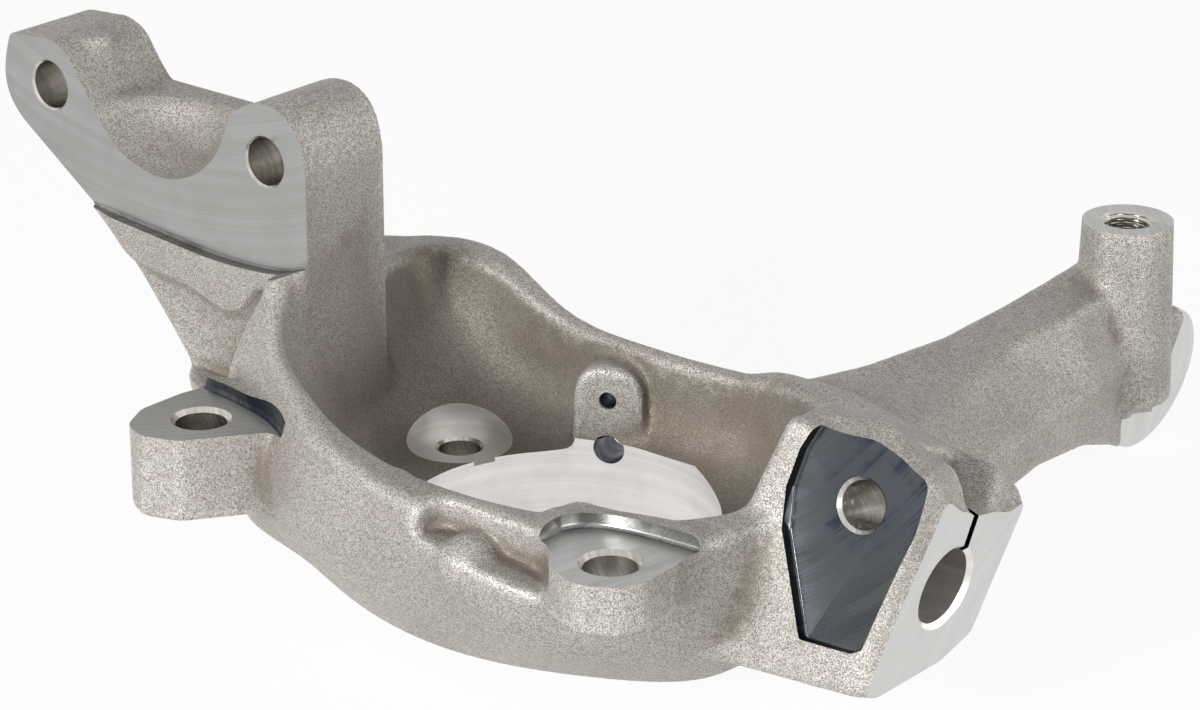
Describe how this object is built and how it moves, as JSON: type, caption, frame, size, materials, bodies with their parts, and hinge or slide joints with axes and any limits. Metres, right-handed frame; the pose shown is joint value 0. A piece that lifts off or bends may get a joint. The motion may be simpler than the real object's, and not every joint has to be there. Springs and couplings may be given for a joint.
{
  "type": "steering knuckle",
  "caption": "Cast aluminium front steering knuckle: a deep basin round the hub bore, with a strut flange, caliper ears, ball-joint clamp, steering arm and damper post.",
  "frame": {"origin": "centre of the hub bore on the outboard hub face", "axes": "+Z inboard along the wheel axis, +X towards the ball-joint clamp, +Y towards the steering arm; the strut flange is at -X and the caliper ears at -Y"},
  "size_m": [0.3114, 0.2875, 0.1238],
  "materials": {
    "knuckle": "grainy casting with bright milled seats"
  },
  "bodies": {
    "root": {"knuckle": "knuckle"}
  },
  "joints": []
}
